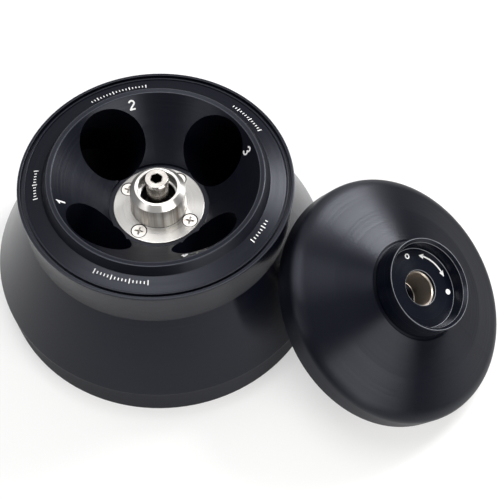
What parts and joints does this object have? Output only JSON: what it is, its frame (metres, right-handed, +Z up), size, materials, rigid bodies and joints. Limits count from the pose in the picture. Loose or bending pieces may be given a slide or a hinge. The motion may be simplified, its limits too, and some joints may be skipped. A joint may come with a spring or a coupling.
{
  "type": "fixed angle centrifuge rotor",
  "caption": "Black fixed angle rotor with slanted round-bottomed tube pockets, a steel hub with a captive fixing screw, and its domed screw-on lid leaning beside it.",
  "frame": {"origin": "on the rotor's axis, on the surface that the rotor stands on", "axes": "+Z up along the rotor's axis; the leaning lid lies towards +X and slightly towards -Y; the viewer stands at -Y"},
  "size_m": [0.2945, 0.208, 0.0963],
  "materials": {
    "black_anodised": "satin black hard anodised",
    "lid_anodised": "satin black hard anodised",
    "knob_anodised": "smooth black hard anodised",
    "hub_steel": "turned bright stainless steel",
    "screw_steel": "bright stainless steel",
    "spring_steel": "phosphated spring steel",
    "washer_bronze": "plain bronze",
    "washer_plastic": "natural",
    "seal_rubber": "matte"
  },
  "bodies": {
    "rotor": {"rotor_body": "black_anodised", "hub": "hub_steel", "hub_screw_1": "screw_steel", "hub_screw_2": "screw_steel", "hub_screw_3": "screw_steel", "hub_screw_4": "screw_steel", "thrust_washer": "washer_bronze", "screw_ring": "spring_steel", "lid_shell": "lid_anodised", "lid_seal": "seal_rubber", "knob_washer": "washer_plastic"},
    "fixing_screw": {"fixing_screw": "hub_steel"},
    "lid_knob": {"lid_knob": "knob_anodised", "knob_sleeve": "hub_steel", "sleeve_ring": "spring_steel"}
  },
  "joints": [
    {"name": "fixing_screw_turn", "type": "hinge", "parent": "rotor", "child": "fixing_screw", "pos_m": [0, 0, 0.0591], "axis": [0, 0, 1], "continuous": true},
    {"name": "lid_knob_turn", "type": "hinge", "parent": "rotor", "child": "lid_knob", "pos_m": [0.13036, -0.04035, 0.03461], "axis": [0.4594, -0.1773, 0.8704], "continuous": true}
  ]
}
